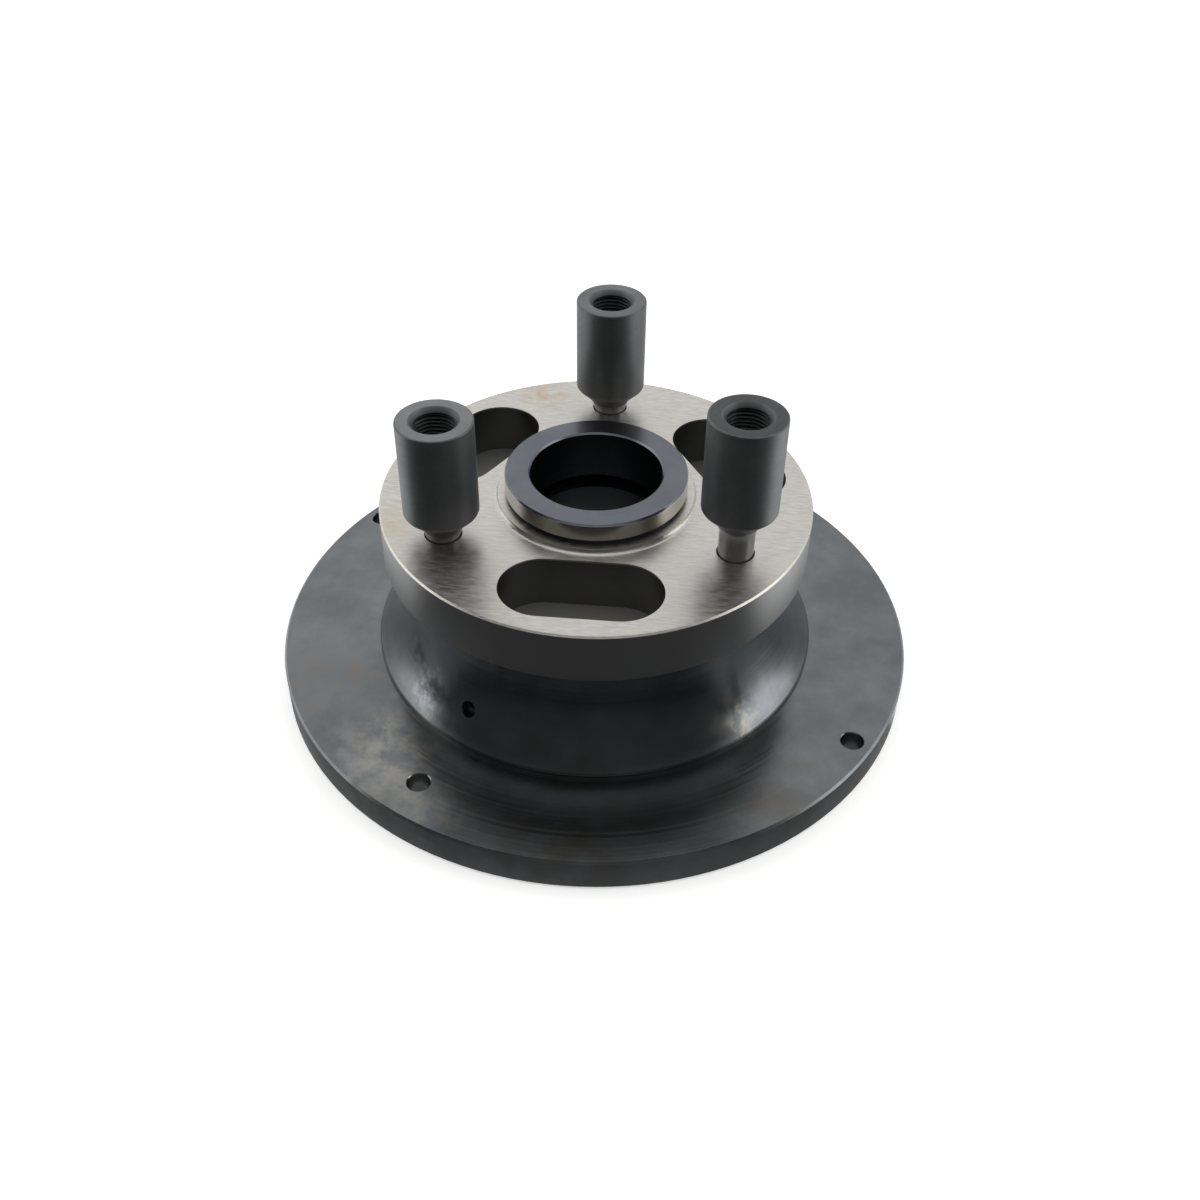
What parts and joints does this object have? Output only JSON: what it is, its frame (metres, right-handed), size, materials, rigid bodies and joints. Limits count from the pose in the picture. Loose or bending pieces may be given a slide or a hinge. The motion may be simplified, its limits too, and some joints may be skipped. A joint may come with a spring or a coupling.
{
  "type": "lathe chuck",
  "caption": "Draw-down face-plate lathe chuck: bolt-on flange, flared hub, ground disc with slots, centre locating collar and sliding clamp posts.",
  "frame": {"origin": "centre of the flange's back face, where the chuck's axis meets the spindle", "axes": "+Z along the chuck's axis out of the work face; -Y towards the slot opposite the back post; +X to its right"},
  "size_m": [0.25, 0.25, 0.1343],
  "materials": {
    "hub_steel": "black oxide on turned steel, satin, handled",
    "plate_steel": "surface ground top, black oxide on the rim",
    "collar_steel": "black oxide end face, polished locating diameter",
    "post_steel": "black oxide, satin; ground bright rod",
    "bearing_bronze": "turned bronze",
    "seal_rubber": "matt black nitrile",
    "fastener_steel": "black oxide",
    "cover_steel": "black oxide sheet, satin",
    "spring_steel": "oil tempered wire",
    "draw_steel": "turned steel, oiled"
  },
  "bodies": {
    "hub": {"hub_body": "hub_steel", "face_plate": "plate_steel", "locating_collar": "collar_steel", "collar_oring": "seal_rubber", "centre_bush": "bearing_bronze", "centre_seal": "seal_rubber", "plate_screws": "fastener_steel", "dowel_pins": "fastener_steel", "grease_plugs": "fastener_steel", "rear_cover": "cover_steel", "cover_screws": "fastener_steel", "clamp_springs": "spring_steel", "guide_bush_back": "bearing_bronze", "rod_seal_back": "seal_rubber", "guide_bush_left": "bearing_bronze", "rod_seal_left": "seal_rubber", "guide_bush_right": "bearing_bronze", "rod_seal_right": "seal_rubber"},
    "draw": {"draw_plate": "draw_steel"},
    "post_back": {"clamp_post_back": "post_steel", "post_washer_back": "fastener_steel", "post_nut_back": "fastener_steel"},
    "post_left": {"clamp_post_left": "post_steel", "post_washer_left": "fastener_steel", "post_nut_left": "fastener_steel"},
    "post_right": {"clamp_post_right": "post_steel", "post_washer_right": "fastener_steel", "post_nut_right": "fastener_steel"}
  },
  "joints": [
    {"name": "draw_slide", "type": "slide", "parent": "hub", "child": "draw", "axis": [0, 0, 1], "range_m": [0, 0.005], "stiffness_N_per_m": 20000, "springref_m": -0.006, "deforming": ["clamp_springs"]},
    {"name": "post_back_slide", "type": "slide", "parent": "draw", "child": "post_back", "axis": [0, 0, 1], "range_m": [0, 0.009]},
    {"name": "post_left_slide", "type": "slide", "parent": "draw", "child": "post_left", "axis": [0, 0, 1], "range_m": [0, 0.009]},
    {"name": "post_right_slide", "type": "slide", "parent": "draw", "child": "post_right", "axis": [0, 0, 1], "range_m": [-0.009, 0]}
  ]
}
